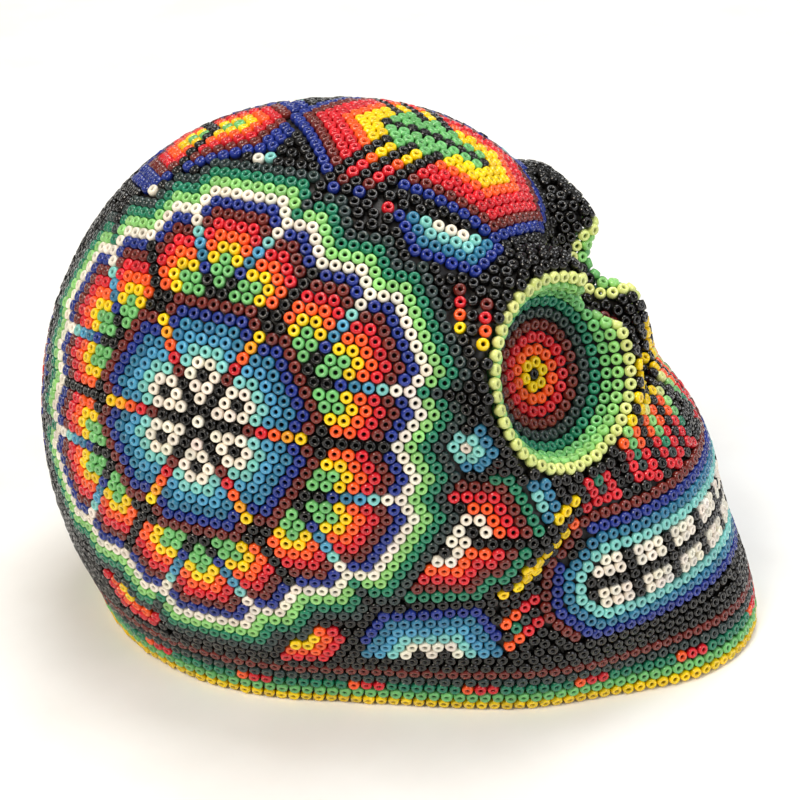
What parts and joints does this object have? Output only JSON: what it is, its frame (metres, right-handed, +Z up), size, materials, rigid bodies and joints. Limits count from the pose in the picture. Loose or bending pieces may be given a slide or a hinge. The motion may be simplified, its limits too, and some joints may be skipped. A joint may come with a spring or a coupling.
{
  "type": "beaded skull figure",
  "caption": "Decorative skull without a lower jaw, hollow and flat footed, covered with glass ring beads in flower and stripe patterns.",
  "frame": {"origin": "on the plane of the flat foot, under the middle of the whole outline", "axes": "+X is the way the face looks, +Y is the left side of the skull, +Z is up from the foot"},
  "size_m": [0.1194, 0.0834, 0.0867],
  "materials": {
    "cast_resin": "cast polyester resin, matt, pale grey brown",
    "bead_wax": "dark beeswax and pine resin, satin",
    "rim_beads": "opaque glass seed beads in straight rows, glossy",
    "side_flower_beads": "opaque glass seed beads, glossy, sixteen colours",
    "eye_beads": "opaque glass seed beads in rings, glossy",
    "teeth_beads": "opaque ivory glass seed beads, glossy",
    "mouth_beads": "opaque glass seed beads in rings, glossy",
    "face_beads": "opaque glass seed beads in stripes, glossy",
    "midline_beads": "opaque glass seed beads, glossy",
    "small_flower_beads": "opaque glass seed beads, glossy",
    "ground_beads": "opaque black glass seed beads, glossy"
  },
  "bodies": {
    "root": {"skull_casting": "cast_resin", "wax_coat": "bead_wax", "rim_row_1": "rim_beads", "rim_row_2": "rim_beads", "rim_row_3": "rim_beads", "rim_row_4": "rim_beads", "rim_row_5": "rim_beads", "lower_teeth": "teeth_beads", "upper_teeth": "teeth_beads", "mouth_frame": "mouth_beads", "nose_opening": "face_beads", "right_eye_floor": "eye_beads", "right_eye_bowl": "eye_beads", "right_eye_rim": "eye_beads", "left_eye_floor": "eye_beads", "left_eye_bowl": "eye_beads", "left_eye_rim": "eye_beads", "middle_feather": "face_beads", "right_cheek_feathers": "face_beads", "right_cheek_stripes": "face_beads", "left_cheek_feathers": "face_beads", "left_cheek_stripes": "face_beads", "right_flower_heart": "side_flower_beads", "right_flower_petals": "side_flower_beads", "right_flower_scallop": "side_flower_beads", "right_flower_border": "side_flower_beads", "left_flower_heart": "side_flower_beads", "left_flower_petals": "side_flower_beads", "left_flower_scallop": "side_flower_beads", "left_flower_border": "side_flower_beads", "forehead_petals": "midline_beads", "forehead_border": "midline_beads", "crown_figure": "midline_beads", "back_figure": "midline_beads", "right_temple_flower": "small_flower_beads", "right_cheekbone_flower": "small_flower_beads", "right_cheek_flower": "small_flower_beads", "right_rim_flower": "small_flower_beads", "left_temple_flower": "small_flower_beads", "left_cheekbone_flower": "small_flower_beads", "left_cheek_flower": "small_flower_beads", "left_rim_flower": "small_flower_beads", "right_ground": "ground_beads", "left_ground": "ground_beads"}
  },
  "joints": []
}
